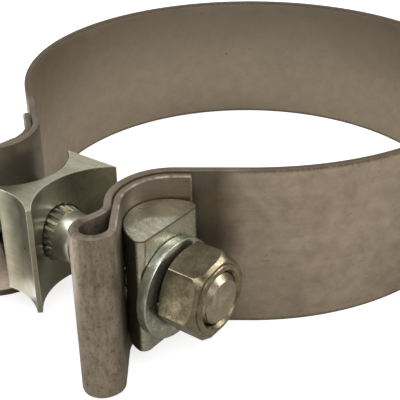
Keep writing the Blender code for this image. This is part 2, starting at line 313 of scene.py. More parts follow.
def add_piece(name, mesh):
    """Puts a mesh in the scene as an object of this name."""
    made = bpy.data.objects.new(name, mesh)
    bpy.context.scene.collection.objects.link(made)
    return made


def grid_mesh(name, rows, caps=True, sharp=30):
    """A skin through rows of points, each row a closed section of as many points.

    Caps close both ends, and edges that turn by more than the sharp angle are shaded as corners.
    """
    shape = bmesh.new()
    made = [[shape.verts.new(point) for point in row] for row in rows]
    count = len(made[0])
    for first, second in zip(made, made[1:]):
        for i in range(count):
            j = (i + 1) % count
            shape.faces.new((first[i], first[j], second[j], second[i]))
    if caps:
        shape.faces.new(made[0][::-1])
        shape.faces.new(made[-1])
    bmesh.ops.recalc_face_normals(shape, faces=shape.faces)
    mesh = bpy.data.meshes.new(name)
    shape.to_mesh(mesh)
    shape.free()
    mesh.shade_smooth()
    mesh.set_sharp_from_angle(angle=math.radians(sharp))
    return mesh


def weld(piece):
    """Joins the first and last rows of a skin that closes on itself."""
    shape = bmesh.new()
    shape.from_mesh(piece.data)
    bmesh.ops.remove_doubles(shape, verts=shape.verts, dist=WELD_DISTANCE)
    bmesh.ops.recalc_face_normals(shape, faces=shape.faces)
    shape.to_mesh(piece.data)
    shape.free()


def apply_modifiers(piece):
    """Turns the piece's modifiers into its mesh."""
    bpy.context.view_layer.update()
    evaluated = piece.evaluated_get(bpy.context.evaluated_depsgraph_get())
    mesh = bpy.data.meshes.new_from_object(evaluated)
    piece.modifiers.clear()
    piece.data = mesh


def cut(piece, mesh):
    """Cuts a mesh's shape out of the piece."""
    tool = add_piece("tool", mesh)
    modifier = piece.modifiers.new("cut", "BOOLEAN")
    modifier.operation = "DIFFERENCE"
    modifier.solver = "EXACT"
    modifier.object = tool
    apply_modifiers(piece)
    bpy.data.objects.remove(tool, do_unlink=True)


def turned_rows(profile, sides):
    """Rows of points round the Y axis, one to each (radius, y) of the profile."""
    turns = [2 * math.pi * i / sides for i in range(sides)]
    return [[(radius * math.cos(a), y, radius * math.sin(a)) for a in turns]
            for radius, y in profile]


def drill(radius_x, radius_z, ends_y, x=0.0):
    """The shape of a hole: an elliptic cylinder along Y."""
    turns = [2 * math.pi * i / ROUND_SIDES for i in range(ROUND_SIDES)]
    return grid_mesh("hole", [[(x + radius_x * math.cos(a), y, radius_z * math.sin(a))
                               for a in turns] for y in ends_y])


def extruded(name, outline, low_z, high_z):
    """An outline in plan, raised along Z with its middle at z = 0."""
    half = (high_z - low_z) / 2
    rows = [[(x, y, z) for x, y in outline] for z in (-half, half)]
    return add_piece(name, grid_mesh(name, rows))


def broken_edges(piece, width, hole):
    """Rounds the piece's sharp edges, gives the rounding the second material and cuts the hole."""
    piece.data.materials.append(None)
    piece.data.materials.append(None)
    bevel = piece.modifiers.new("edges", "BEVEL")
    bevel.width = width
    bevel.segments = 2
    bevel.limit_method = "ANGLE"
    bevel.angle_limit = math.radians(BREAK_ANGLE)
    bevel.material = 1
    bevel.use_clamp_overlap = True
    apply_modifiers(piece)
    cut(piece, hole)
    piece.data.set_sharp_from_angle(angle=math.radians(BREAK_ANGLE))
    normals = piece.modifiers.new("normals", "WEIGHTED_NORMAL")
    normals.keep_sharp = True
    apply_modifiers(piece)


def on_axis(piece):
    """Moves a piece made round the origin to the bolt's axis, mesh and all."""
    piece.data.transform(Matrix.Translation((AXIS_X, CENTRE_Y, MIDDLE_Z)))


# The band

def loop_span(along, stretches):
    """Where the loops begin and end, as lengths of strip from the ring's back."""
    loops = [abs(u) for u, name in zip(along, stretches) if name == "loop"]
    return min(loops), max(loops)


def in_loop(length, span):
    """1 in the loops and 0 outside them, with a fade inside each end."""
    start, end = span
    return np.interp(length, (start, start + LOOP_FADE, end - LOOP_FADE, end), (0, 1, 1, 0))


def strip_section(half_thickness, top, bottom, rounding):
    """One section of the strip as (offset, z) points, with its four corners rounded."""
    points = []
    for side, level, inward, first in ((1, top, -1, 0), (-1, top, -1, 90),
                                       (-1, bottom, 1, 180), (1, bottom, 1, 270)):
        centre = (side * (half_thickness - rounding), level + inward * rounding)
        points += arc(centre, rounding, first, first + 90, EDGE_STEP)
        if first in (90, 270):
            target = bottom + rounding if first == 90 else top - rounding
            step = (top - bottom) / FACE_ROWS
            points += straight(points[-1], (side * half_thickness, target), step)
    return points


def flat_strip(along, stretches):
    """The strip laid flat: X is its length from the ring's back, Y its outer side, Z its width."""
    rounding = [(EDGE_RADIUS * e, EDGE_RADIUS * (1 - math.sqrt(1 - (1 - e) ** 2)))
                for e in END_ROWS]
    stations = [(along[0] + step, inset) for step, inset in rounding]
    stations += [(u, 0.0) for u in along[1:-1]]
    stations += [(along[-1] - step, inset) for step, inset in reversed(rounding)]

    span = loop_span(along, stretches)
    rows = []
    for u, inset in stations:
        length = abs(u)
        drop = FOLD_TOP_DROP * np.interp(length, span, (0, 1))
        rise = LUG_BOTTOM_RISE * np.interp(length, (span[0] - LUG_BOTTOM_FADE, span[0]), (0, 1))
        looped = in_loop(length, span)
        inside = 1 + LOOP_THICKENED * looped
        section = strip_section(THICKNESS / 2 - inset * END_THINNING, WIDTH / 2 - drop - inset,
                                -WIDTH / 2 + rise + inset, EDGE_RADIUS + LOOP_ROUNDED * looped)
        rows.append([(u, offset * inside if offset > 0 else offset, z) for offset, z in section])
    return grid_mesh("band_strip", rows)


def drill_lugs(band, along, path, stretches):
    """Cuts the bolt's hole wherever a lug or its folded layer crosses the bolt's axis."""
    for i, name in enumerate(stretches[:-1]):
        crosses = (path[i][0] - BOLT_X) * (path[i + 1][0] - BOLT_X) <= 0
        if name in ("lug", "fold") and crosses and abs(path[i][1]) < BAR_FACE_Y:
            cut(band, drill(HOLE_RADIUS * HOLE_STRETCH, HOLE_RADIUS, STRIP_HOLE_Y, along[i]))


def mark_wear(band, along, stretches, ring_end):
    """Gives the flat strip the shares and the map that its material reads.

    edge and worn follow its corners, bent its loops, lug and bore the stretches of those names.
    The share of painted shade follows its bends and the top of its bore, and a little of it lies on
    the outer face throughout.
    """
    co = np.array([v.co for v in band.data.vertices])
    length, outward, height = np.abs(co[:, 0]), co[:, 1], co[:, 2]
    span = loop_span(along, stretches)
    looped = in_loop(length, span)
    fold_start = min(abs(u) for u, name in zip(along, stretches) if name == "fold")

    top_fade = [along[-1] * share for share in FOLD_TOP_FADE]
    top = WIDTH / 2 - np.interp(length, top_fade, (0, FOLD_TOP_DROP))
    inside = np.minimum.reduce([WIDTH / 2 - height, height + WIDTH / 2, top - height,
                                co[:, 0] - along[0], along[-1] - co[:, 0]])
    back_corner = (inside < EDGE_RADIUS * 0.7) & (outward < EDGE_RADIUS * 0.6 - THICKNESS / 2)
    back_corner &= (height > -WIDTH / 2.5) & (length > fold_start)

    # Painted shade beside the lug, lighter over the loop, then deeper over the folded layer to the
    # tip
    bends = np.interp(length, (ring_end + 0.5 * MM, ring_end + 6 * MM, fold_start - 8 * MM,
                               fold_start, along[-1]), BEND_SHADE)
    bends *= 1 + looped * np.interp(height, (-WIDTH / 2, 0, WIDTH / 2), LOOP_SHADE_BY_HEIGHT)
    bore_top = np.interp(height, (-2 * MM, WIDTH / 2), (0, BORE_TOP_SHADE))
    bore_top *= (outward < 0) & (length < ring_end)
    outside = OUTSIDE_DARKENING * (outward > 0)
    in_curl = CURL_SHADE * looped * (outward > 0.2 * THICKNESS)
    on_lug = np.interp(length, (ring_end, ring_end + 8 * MM), (0, 1))

    shares = {
        "edge": np.clip(1 - inside / (EDGE_RADIUS + LOOP_ROUNDED * looped), 0, 1),
        "worn": back_corner * (1 - np.minimum(1, looped * 1.5)),
        "painted_shade": np.maximum.reduce([bends, bore_top, outside, in_curl]),
        "bent": np.interp(length, (span[0] - 5 * MM, span[0], span[1], span[1] + 5 * MM),
                          (0, 1, 1, FOLD_BENT)),
        # Painted shade: the head side's folded layer keeps its edges dark
        "lug": np.where(co[:, 0] < -fold_start, HEAD_SIDE_FOLD_SHADED_SHARE * on_lug, on_lug),
        "bore": (outward < 0) & (length < ring_end + 4 * MM),
    }
    for name, share in shares.items():
        attribute = band.data.attributes.new(name, "FLOAT", "POINT")
        attribute.data.foreach_set("value", share.astype(np.float32))
    strip_map = band.data.uv_layers.new(name="strip")
    corners = np.array([loop.vertex_index for loop in band.data.loops])
    strip_map.data.foreach_set("uv", co[corners][:, (0, 2)].astype(np.float32).ravel())


def roll_up(mesh, along, path):
    """Bends a flat strip's mesh onto its path in plan and puts the ring's centre in its place."""
    tangents = np.gradient(path, axis=0)
    tangents /= np.linalg.norm(tangents, axis=1)[:, None]
    co = np.array([v.co for v in mesh.vertices])
    place = [np.interp(co[:, 0], along, path[:, k]) for k in (0, 1)]
    ahead = np.array([np.interp(co[:, 0], along, tangents[:, k]) for k in (0, 1)])
    ahead /= np.linalg.norm(ahead, axis=0)
    x = CENTRE_X + place[0] - ahead[1] * co[:, 1]
    y = CENTRE_Y + place[1] + ahead[0] * co[:, 1]
    z = MIDDLE_Z + co[:, 2]
    mesh.vertices.foreach_set("co", np.c_[x, y, z].astype(np.float32).ravel())
    mesh.update()


def make_band():
    """The strip is made flat, so that its holes, map and bending follow its length, then rolled."""
    nut_side, nut_stretches = half_strip((0, 0), 0, FREE_END)
    head_side, head_stretches = half_strip(HEAD_SIDE_SHIFT, HEAD_SIDE_PINCH, HEAD_SIDE_FREE_END)
    path = np.array([(x, -y) for x, y in reversed(head_side)] + nut_side[1:])
    stretches = head_stretches[::-1] + nut_stretches[1:]
    along = np.r_[0, np.cumsum(np.linalg.norm(np.diff(path, axis=0), axis=1))]
    along -= along[len(head_side) - 1]
    ring_end = max(u for u, name in zip(along, stretches) if name == "ring")

    band = add_piece("band_strip", flat_strip(along, stretches))
    drill_lugs(band, along, path, stretches)
    mark_wear(band, along, stretches, ring_end)
    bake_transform(band)
    roll_up(band.data, along, path)
    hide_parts("band")
    return band


# The hardware

def make_bar(name, node, body, side, shift):
    """Half-round bar with its flat face at BAR_FACE_Y, on the nut's side or mirrored on the head's.

    Its upright edges are well rounded, and its sheared ends fall off a little towards the flat
    face. The round back gets the third material, a darker zinc: painted shade where the back sits
    in the lug's hollow.
    """
    rounding = BAR_CORNER_RADIUS
    lean = math.degrees(math.asin(rounding / BAR_RADIUS))
    edge_x = BAR_RADIUS * math.cos(math.radians(lean))
    outline = arc((edge_x - rounding, -rounding), rounding, 90, 0, BAR_CORNER_STEP)
    outline += arc((0, 0), BAR_RADIUS, -lean, lean - 180, ARC_STEP)[1:-1]
    outline += arc((rounding - edge_x, -rounding), rounding, 180, 90, BAR_CORNER_STEP)
    low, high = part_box(node)
    bar = extruded(name, [(x, side * y) for x, y in outline], low.z, high.z)
    for vertex in bar.data.vertices:
        vertex.co.z += math.copysign(abs(vertex.co.y) * BAR_END_SLOPE, vertex.co.z)
    bar.data.transform(Matrix.Translation((shift[0], side * (BAR_FACE_Y + shift[1]), 0)))
    broken_edges(bar, BAR_BREAK, drill(HOLE_RADIUS, HOLE_RADIUS, BAR_HOLE_Y))
    # Painted shade: the round back, past the face's rounded edges, gets the dark third material
    for face in bar.data.polygons:
        behind = BAR_FACE_Y + shift[1] - side * face.center.y
        upright = abs(face.normal.z) < UPRIGHT_NORMAL
        if behind > BAR_SHADE_DEPTH and upright and not face.material_index:
            face.material_index = 2
    on_axis(bar)
    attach(bar, body)
    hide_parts(node)
    return bar


def make_block():
    """Block with a deep hollow towards each lug, a shallow one in its outer face and blunt tips."""
    near_tip = (BLOCK_NEAR_OUTER[0] - BLOCK_TIP, BLOCK_NEAR_OUTER[1])
    far_tip = (BLOCK_FAR_OUTER[0] - BLOCK_TIP, BLOCK_FAR_OUTER[1])
    outer_start = (BLOCK_FAR_OUTER[0], BLOCK_FAR_OUTER[1] + BLOCK_TIP)
    outer_end = (BLOCK_NEAR_OUTER[0], BLOCK_NEAR_OUTER[1] - BLOCK_TIP)
    outline = hollow(near_tip, BLOCK_NEAR_INNER, BLOCK_BITE)
    outline += hollow(BLOCK_FAR_INNER, far_tip, BLOCK_BITE)
    outline += hollow(outer_start, outer_end, BLOCK_HOLLOW)
    low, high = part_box("spacer_block")
    block = extruded("block_body", [(x - BOLT_X, y) for x, y in outline], low.z, high.z)
    hole = drill(BLOCK_HOLE_RADIUS, BLOCK_HOLE_RADIUS, BLOCK_HOLE_Y)
    broken_edges(block, BLOCK_BREAK, hole)
    on_axis(block)
    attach(block, "block")
    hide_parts("spacer_block")
    return block


def hexagon(across_flats, turn):
    """The hexagon's outline as (x, z), with slightly rounded corners and its sides in steps."""
    corner = across_flats / math.sqrt(3)
    turns = [math.radians(turn + 60 * k) for k in range(6)]
    rounded = filleted([(corner * math.cos(a), corner * math.sin(a)) for a in turns],
                       HEX_CORNER_RADIUS, 3)
    outline = []
    for point, following in zip(rounded, rounded[1:] + rounded[:1]):
        outline += [point] + straight(point, following, HEX_STEP)
    return outline


def hex_end(outline, y, face, inward):
    """Two rows at the end of a hexagon: its round face, and its sides chamfered down to the face.

    inward is the way along Y from the face into the hexagon, 1 or -1.
    """
    circle, sides = [], []
    for x, z in outline:
        full = math.hypot(x, z)
        share = face / full
        circle.append((x * share, y, z * share))
        sides.append((x, y + inward * max(0.0, full - face) * CHAMFER_SLOPE, z))
    return [circle, sides]


def make_nut():
    """Hexagon nut, bevelled along its sides to a low round collar and countersunk at its bore."""
    low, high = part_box("nut")
    start_y, end_y = low.y - CENTRE_Y, high.y - CENTRE_Y
    outline = hexagon(NUT_ACROSS_FLATS, NUT_TURN)
    flat = NUT_ACROSS_FLATS / 2
    corner_excess = 1 / math.cos(math.radians(30)) - 1

    def ring(radius, y, squareness=0.0):
        """A row from a circle (0) to a hexagon round it (1), whose corners then lie deeper."""
        row = []
        for x, z in outline:
            full = math.hypot(x, z)
            around = radius * full / flat
            reach = radius + (around - radius) * squareness
            corner = (full / flat - 1) / corner_excess
            level = y - NUT_CORNER_DEPTH * corner ** 2 * (squareness == 1.0)
            row.append((x * reach / full, level, z * reach / full))
        return row

    rows = hex_end(outline, start_y, NUT_BACK_FACE, 1)
    rows += [ring(flat, end_y - NUT_BEVEL_DEPTH, 1.0),
             ring(NUT_COLLAR_RADIUS + NUT_FLARE, end_y - NUT_FLARE_DEPTH, NUT_FLARE_SQUARENESS),
             ring(NUT_COLLAR_RADIUS, end_y - NUT_COLLAR_HEIGHT)]
    for degrees in NUT_COLLAR_TURNS:
        turn = math.radians(degrees)
        rows.append(ring(NUT_COLLAR_RADIUS - NUT_COLLAR_INSET * (1 - math.cos(turn)),
                         end_y - NUT_COLLAR_HEIGHT * (1 - math.sin(turn))))
    sink = NUT_SINK_RADIUS - NUT_BORE_RADIUS
    rows += [ring(NUT_SINK_RADIUS, end_y - NUT_SINK_DROP),
             ring(NUT_BORE_RADIUS, end_y - sink * NUT_SINK_STEEPNESS),
             ring(NUT_BORE_RADIUS, start_y + sink), ring(NUT_SINK_RADIUS, start_y)]
    nut = add_piece("nut_body", grid_mesh("nut_body", rows + [rows[0]], caps=False, sharp=22))
    weld(nut)
    on_axis(nut)
    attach(nut, "nut")
    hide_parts("nut")
    return nut


def make_washer():
    """Washer, hanging a little off the bolt's axis. Its flat faces get the second material."""
    low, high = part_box("washer")
    x, z = (low.x + high.x) / 2 + WASHER_SAG[0], (low.z + high.z) / 2 + WASHER_SAG[1]
    back = low.y - WASHER_SEAT
    profile = [(WASHER_BORE, back), (WASHER_BORE, high.y), (WASHER_RADIUS, high.y),
               (WASHER_RADIUS, back)]
    profile = filleted(profile, WASHER_EDGE, 4)
    rows = [[(px + x, y, pz + z) for px, y, pz in row]
            for row in turned_rows(profile + profile[:1], WASHER_SIDES)]
    washer = add_piece("washer_body", grid_mesh("washer_body", rows, caps=False))
    weld(washer)
    for face in washer.data.polygons:
        face.material_index = int(abs(face.normal.y) > FLAT_NORMAL)
    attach(washer, "nut_side")
    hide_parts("washer")
    return washer


def make_shank():
    """The plain shoulder, the knurl's domed end and the neck before the thread."""
    rise = SHOULDER_RADIUS - NECK_RADIUS
    dome = [(NECK_RADIUS + rise * math.sin(math.radians(a)),
             KNURL_END_Y + (DOME_END_Y - KNURL_END_Y) * math.cos(math.radians(a)))
            for a in range(90 - DOME_STEP, -1, -DOME_STEP)]
    shoulder = [(SHOULDER_RADIUS, HEAD_FACE_Y - SHOULDER_IN_HEAD),
                (SHOULDER_RADIUS, KNURL_START_Y), (SHOULDER_RADIUS, KNURL_END_Y)]
    profile = shoulder + dome + [(NECK_RADIUS, THREAD_START_Y)]
    return add_piece("bolt_shank", grid_mesh("bolt_shank", turned_rows(profile, ROUND_SIDES)))


def make_thread():
    """The thread's helix, run out over its first turn and chamfered at the bolt's tip."""
    tip_y = bolt_high.y - CENTRE_Y
    levels = round((tip_y - THREAD_START_Y) / PITCH * THREAD_LEVELS)
    rows = []
    for i in range(levels + 1):
        y = THREAD_START_Y + i * PITCH / THREAD_LEVELS
        runout = min(1.0, i / THREAD_LEVELS)
        limit = THREAD_RADIUS - max(0.0, y - (tip_y - TIP_CHAMFER))
        row = []
        for k in range(THREAD_SIDES):
            angle = 2 * math.pi * k / THREAD_SIDES
            phase = (i / THREAD_LEVELS - k / THREAD_SIDES) % 1.0
            ridge = min(1.0, max(0.0, THREAD_CREST - THREAD_FLANK * abs(phase - 0.5)))
            radius = THREAD_ROOT + (THREAD_RADIUS - THREAD_ROOT) * ridge * runout
            radius = min(radius, limit)
            row.append((radius * math.cos(angle), min(y, tip_y), radius * math.sin(angle)))
        rows.append(row)
    return add_piece("bolt_thread", grid_mesh("bolt_thread", rows, sharp=40))


def make_knurl():
    """Straight teeth round the shoulder, tapered off at the end towards the dome."""
    levels = [(KNURL_START_Y, 0.0), (KNURL_START_Y + KNURL_LEAD, 1.0), (KNURL_TAPER_Y, 1.0),
              (KNURL_END_Y, KNURL_END_HEIGHT)]
    sides = KNURL_TEETH * KNURL_POINTS
    rows = []
    for y, height in levels:
        row = []
        for k in range(sides):
            phase = (k % KNURL_POINTS) / KNURL_POINTS
            tooth = min(1.0, max(0.0, KNURL_CREST - KNURL_FLANK * abs(phase - 0.5)))
            radius = KNURL_ROOT + (KNURL_RADIUS - KNURL_ROOT) * tooth * height
            angle = 2 * math.pi * k / sides
            row.append((radius * math.cos(angle), y, radius * math.sin(angle)))
        rows.append(row)
    return add_piece("bolt_knurl", grid_mesh("bolt_knurl", rows, sharp=25))


def make_head():
    """Hexagon head with a chamfered top and a washer face under it."""
    collar_y = HEAD_FACE_Y - HEAD_COLLAR_HEIGHT
    outline = hexagon(HEAD_ACROSS_FLATS, 0)
    rows = hex_end(outline, bolt_low.y - CENTRE_Y, HEAD_TOP_FACE, 1)
    rows += hex_end(outline, collar_y, HEAD_UNDER_FACE, -1)[::-1]
    for y in (collar_y, HEAD_FACE_Y):
        rows.append([(x * HEAD_COLLAR_RADIUS / math.hypot(x, z), y,
                      z * HEAD_COLLAR_RADIUS / math.hypot(x, z)) for x, z in outline])
    return add_piece("bolt_head", grid_mesh("bolt_head", rows, sharp=22))


def make_bolt():
    """The bolt's pieces are one forging: they meet inside each other."""
    made = [make_shank(), make_thread(), make_knurl(), make_head()]
    for piece in made:
        on_axis(piece)
        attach(piece, "root")
    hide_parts("bolt")
    return made


# Materials

class Graph:
    """A material's or world's nodes, each added with its inputs joined or set in one call."""

    def __init__(self, owner):
        owner.use_nodes = True
        self.tree = owner.node_tree
        self.tree.nodes.clear()

    def add(self, kind, inputs=None, **settings):
        node = self.tree.nodes.new("ShaderNode" + kind)
        for key, value in settings.items():
            setattr(node, key, value)
        for key, value in (inputs or {}).items():
            if isinstance(value, bpy.types.NodeSocket):
                self.tree.links.new(value, node.inputs[key])
            else:
                node.inputs[key].default_value = value
        return node

    def share(self, name):
        """One of the band's wear shares."""
        return self.add("Attribute", attribute_name=name).outputs["Fac"]

    def scaled(self, vector, scale, stretch=(1, 1, 1)):
        """Places to read a texture at, with scale in features to the millimetre."""
        return self.add("Mapping", {"Vector": vector,
                                    "Scale": [s * scale / MM for s in stretch]}).outputs[0]

    def noise(self, vector, scale, detail, roughness, stretch=(1, 1, 1), wander=0.0):
        """Noise from about 0.3 to 0.7."""
        place = self.scaled(vector, scale, stretch)
        return self.add("TexNoise", {"Vector": place, "Scale": 1.0, "Detail": detail,
                                     "Roughness": roughness, "Distortion": wander}).outputs[0]

    def span(self, value, low, high, to_low=0.0, to_high=1.0):
        """The value's place between low and high, held to the range given."""
        return self.add("MapRange", {"Value": value, "From Min": low, "From Max": high,
                                     "To Min": to_low, "To Max": to_high}).outputs[0]

    def spread(self, noise, to_low, to_high):
        """All of a noise's range, laid over the range given."""
        return self.span(noise, 0.3, 0.7, to_low, to_high)

    def math(self, operation, first, second=0.0):
        return self.add("Math", {0: first, 1: second}, operation=operation).outputs[0]

    def plus(self, first, second):
        return self.math("ADD", first, second)

    def times(self, first, second):
        return self.math("MULTIPLY", first, second)

    def tint(self, share, first, second):
        """The first colour turned to the second by the share given."""
        return self.add("Mix", {0: share, 6: first, 7: second}, data_type="RGBA").outputs[2]


def linear(red, green, blue):
    """A colour given as 0 to 255 screen values."""
    return tuple((v / 255) ** 2.2 for v in (red, green, blue)) + (1.0,)


BORE_TONE = linear(172, 160, 143)
# Painted shade for the band's bends, loops and the top of its bore
SHADE_TONE = (0.05, 0.04, 0.027, 1.0)
PALE_RUN, DARK_RUN = (0.5, 0.46, 0.4, 1.0), (0.07, 0.055, 0.04, 1.0)
PALE_FLAKE, DARK_FLAKE = (0.5, 0.45, 0.38, 1.0), (0.06, 0.045, 0.03, 1.0)
SCUFF = (0.09, 0.07, 0.05, 1.0)
PIT = (0.01, 0.008, 0.006, 1.0)
EDGE_STAIN = (0.06, 0.037, 0.018, 1.0)
RUBBED = (0.45, 0.42, 0.36, 1.0)
STAIN_DEPTH = (0.3 * MM, 0.85 * MM)
STAIN_WOBBLE = 0.3 * MM
DRAWN = (2.2, 0.3, 2.2)
TURNED = (0.3, 3.0, 0.3)
ROLLED = (0.12, 3.0, 1.0)
EVEN = (1, 1, 1)


def band_wear(graph, place, patches, colour):
    """The band's wear and painted shade over its plain colour. Also returns how far each spot is
    stained edge.

    Its bore is tinted towards one plain tone, and painted shade darkens its bends, its loops and
    the top of its bore, and a little its outer face. The loops carry runs and flakes, the rest a
    few scuffs and pits. Sheared edges are brown, but rubbed bright round the folded layer's back.
    scuffs and pits. Sheared edges are brown, but rubbed bright round the folded layer's back.
    """
    colour = graph.tint(graph.times(graph.share("bore"), 0.65), colour, BORE_TONE)
    # Painted shade over the bends, the loops, the top of the bore and, a little, the outer face
    colour = graph.tint(graph.share("painted_shade"), colour, SHADE_TONE)
    bent = graph.share("bent")
    runs = graph.noise(place, 0.9, 5.0, 0.65, (1.5, 0.3, 1.0))
    flakes = graph.noise(place, 1.5, 6.0, 0.75, (1.3, 0.7, 1.0))
    for marks, start, full, strength, tone in ((runs, 0.5, 0.7, 0.25, PALE_RUN),
                                               (runs, 0.46, 0.34, 0.45, DARK_RUN),
                                               (flakes, 0.57, 0.68, 0.35, PALE_FLAKE),
                                               (flakes, 0.45, 0.38, 0.6, DARK_FLAKE)):
        amount = graph.times(bent, graph.span(marks, start, full, 0.0, strength))
        colour = graph.tint(amount, colour, tone)
    scuffs = graph.noise(place, 0.55, 2.0, 0.5, (1.0, 3.2, 1.0), wander=0.6)
    colour = graph.tint(graph.times(graph.span(scuffs, 0.7, 0.75), 0.5), colour, SCUFF)
    cells = graph.add("TexVoronoi", {"Vector": graph.scaled(place, 0.05), "Scale": 1.0})
    pits = graph.span(cells.outputs["Distance"], 0.018, 0.03, 0.9, 0.0)
    colour = graph.tint(pits, colour, PIT)

    # Edges are brown on the ring and lighter on the lugs; on the head side's folded layer the dark
    # edges are painted shade
    lug = graph.share("lug")
    corner = graph.times(graph.share("edge"), graph.span(lug, 0.0, 1.0, 0.97, 0.42))
    across = graph.math("ABSOLUTE", graph.add("SeparateXYZ", {0: place}).outputs["Y"])
    from_edge = graph.plus(graph.math("SUBTRACT", WIDTH / 2, across),
                           graph.spread(flakes, -STAIN_WOBBLE, STAIN_WOBBLE))
    stain = graph.times(graph.span(from_edge, *STAIN_DEPTH, 0.85, 0.0),
                        graph.span(lug, 0.0, 1.0, 1.0, 0.0))
    stained = graph.math("MAXIMUM", corner, stain)
    colour = graph.tint(stained, colour, EDGE_STAIN)
    worn = graph.times(graph.share("worn"), graph.span(patches, 0.42, 0.62, 0.0, 0.8))
    return graph.tint(worn, colour, RUBBED), stained


def metal(name, dark, light, speck, rough, metallic=0.95, grain=EVEN, tones=(0.3, 0.3, 0.3),
          blotch=0.12, patch=3.4, specks=0.6, streaks=0.2, scratches=0.3, bump=0.25, band=False):
    """Plated or bare steel: clouds, patches, fine grain, dark specks, scratches and uneven shine.

    dark, light and speck are screen colours, and rough is the least and the most roughness. tones
    are the shares of the clouds, patches and grain. blotch is the clouds' size in features to the
    millimetre, and the patches are finer by patch. grain stretches the streaks and scratches.
    """
    dark, light, speck = linear(*dark), linear(*light), linear(*speck)
    scratch = tuple(min(1.0, c * 1.5) for c in light[:3]) + (1.0,)
    material = bpy.data.materials.new(name)
    graph = Graph(material)
    if band:
        place = graph.add("UVMap", uv_map="strip").outputs[0]
    else:
        place = graph.add("TexCoord").outputs["Object"]
    clouds = graph.noise(place, blotch, 3.0, 0.5)
    patches = graph.noise(place, blotch * patch, 4.0, 0.6, wander=0.35)
    fine = graph.noise(place, 1.6, 8.0, 0.72)
    tiny = graph.noise(place, 5.0, 3.0, 0.6)
    along = graph.noise(place, 0.5, 6.0, 0.7, grain)
    scores = graph.noise(place, 1.3, 2.0, 0.5, tuple(g ** 2 if g > 1 else g for g in grain))

    tone = graph.plus(graph.span(clouds, 0.35, 0.65, 0.0, tones[0]),
                      graph.span(patches, 0.36, 0.68, 0.0, tones[1]))
    tone = graph.plus(tone, graph.spread(fine, 0.0, tones[2]))
    tone = graph.plus(tone, graph.spread(along, -streaks, streaks))
    colour = graph.tint(tone, dark, light)
    pits = graph.span(graph.plus(tiny, graph.spread(patches, 0.05, -0.05)), 0.66, 0.73)
    colour = graph.tint(graph.times(pits, specks), colour, speck)
    scored = graph.times(graph.span(scores, 0.65, 0.71), scratches)
    colour = graph.tint(scored, colour, scratch)
    roughness = graph.plus(graph.spread(fine, rough[1], rough[0]),
                           graph.span(patches, 0.35, 0.65, 0.05, -0.05))
    if band:
        colour, stained = band_wear(graph, place, patches, colour)
        metallic = graph.times(graph.span(stained, 0.0, 1.0, 1.0, 0.15), metallic)
        roughness = graph.plus(roughness, graph.times(stained, 0.35))
    height = graph.plus(graph.times(fine, 0.6), graph.times(tiny, 0.25))
    height = graph.math("SUBTRACT", height, graph.times(pits, 0.3))
    height = graph.math("SUBTRACT", height, graph.times(scored, 0.2))
    relief = graph.add("Bump", {"Strength": bump, "Distance": 0.05 * MM, "Height": height})
    shader = graph.add("BsdfPrincipled", {"Base Color": colour, "Metallic": metallic,
                                          "Roughness": roughness, "Normal": relief.outputs[0]})
    graph.add("OutputMaterial", {0: shader.outputs[0]})
    return material


def finish_with(piece, *materials):
    """Fills the piece's slots in order; clearing them would send every face to the first."""
    slots = piece.data.materials
    for i, material in enumerate(materials):
        if i < len(slots):
            slots[i] = material
        else:
            slots.append(material)


band_steel = metal("band_steel", (152, 138, 121), (199, 184, 165), (104, 92, 76), (0.38, 0.52),
                   metallic=0.88, grain=ROLLED, tones=(0.28, 0.3, 0.15), blotch=0.08, patch=4.0,
                   specks=0.35, streaks=0.07, scratches=0.1, bump=0.2, band=True)
zinc = metal("zinc", (130, 126, 110), (192, 187, 168), (76, 72, 60), (0.2, 0.42),
             grain=DRAWN, tones=(0.3, 0.35, 0.35))
bar_edge = metal("bar_edge", (46, 40, 30), (96, 88, 72), (30, 26, 18), (0.5, 0.65),
                 metallic=0.25, tones=(0.3, 0.4, 0.3), specks=0.3, streaks=0.1, scratches=0.1,
                 bump=0.15)
# A darker copy of the bars' zinc: painted shade on their round backs in the lugs' hollows
shaded_bar_back = metal("shaded_bar_back", (66, 61, 50), (104, 98, 82), (40, 36, 28), (0.45, 0.6),
                 metallic=0.9, grain=DRAWN, tones=(0.3, 0.35, 0.35))
block_zinc = metal("block_zinc", (128, 124, 107), (171, 166, 148), (84, 78, 64), (0.3, 0.37),
                   grain=DRAWN, tones=(0.3, 0.08, 0.06), specks=0.2, scratches=0.15, bump=0.03)
block_edge = metal("block_edge", (150, 147, 130), (202, 198, 182), (96, 92, 80), (0.24, 0.38),
                   tones=(0.3, 0.4, 0.3), scratches=0.1, bump=0.15)
bolt_zinc = metal("bolt_zinc", (124, 115, 97), (170, 158, 136), (74, 66, 52), (0.24, 0.38),
                  grain=TURNED, blotch=0.2)
# The knurl and the shank with its dome are the bolt's zinc made lighter: painted light for the
# highlights on the teeth and the dome
knurl_zinc_painted_light = metal("knurl_zinc_painted_light", (146, 144, 130), (198, 195, 180), (90, 86, 74), (0.24, 0.36),
                   blotch=0.3, specks=0.3, scratches=0.1, bump=0.1)
shank_zinc_painted_light = metal("shank_zinc_painted_light", (190, 188, 172), (232, 230, 214), (96, 92, 80), (0.28, 0.42),
                    tones=(0.3, 0.3, 0.2), blotch=0.3, specks=0.4, scratches=0.15, bump=0.12)
washer_rim = metal("washer_rim", (124, 133, 126), (222, 227, 215), (64, 70, 64), (0.24, 0.44),
                   grain=TURNED, blotch=0.16, specks=0.8)
washer_zinc = metal("washer_zinc", (120, 123, 111), (204, 204, 187), (72, 74, 65), (0.2, 0.4),
                    grain=TURNED, blotch=0.16)
nut_zinc = metal("nut_zinc", (89, 81, 62), (160, 149, 124), (54, 48, 36), (0.18, 0.38),
                 tones=(0.35, 0.2, 0.22), blotch=0.14)

# The object

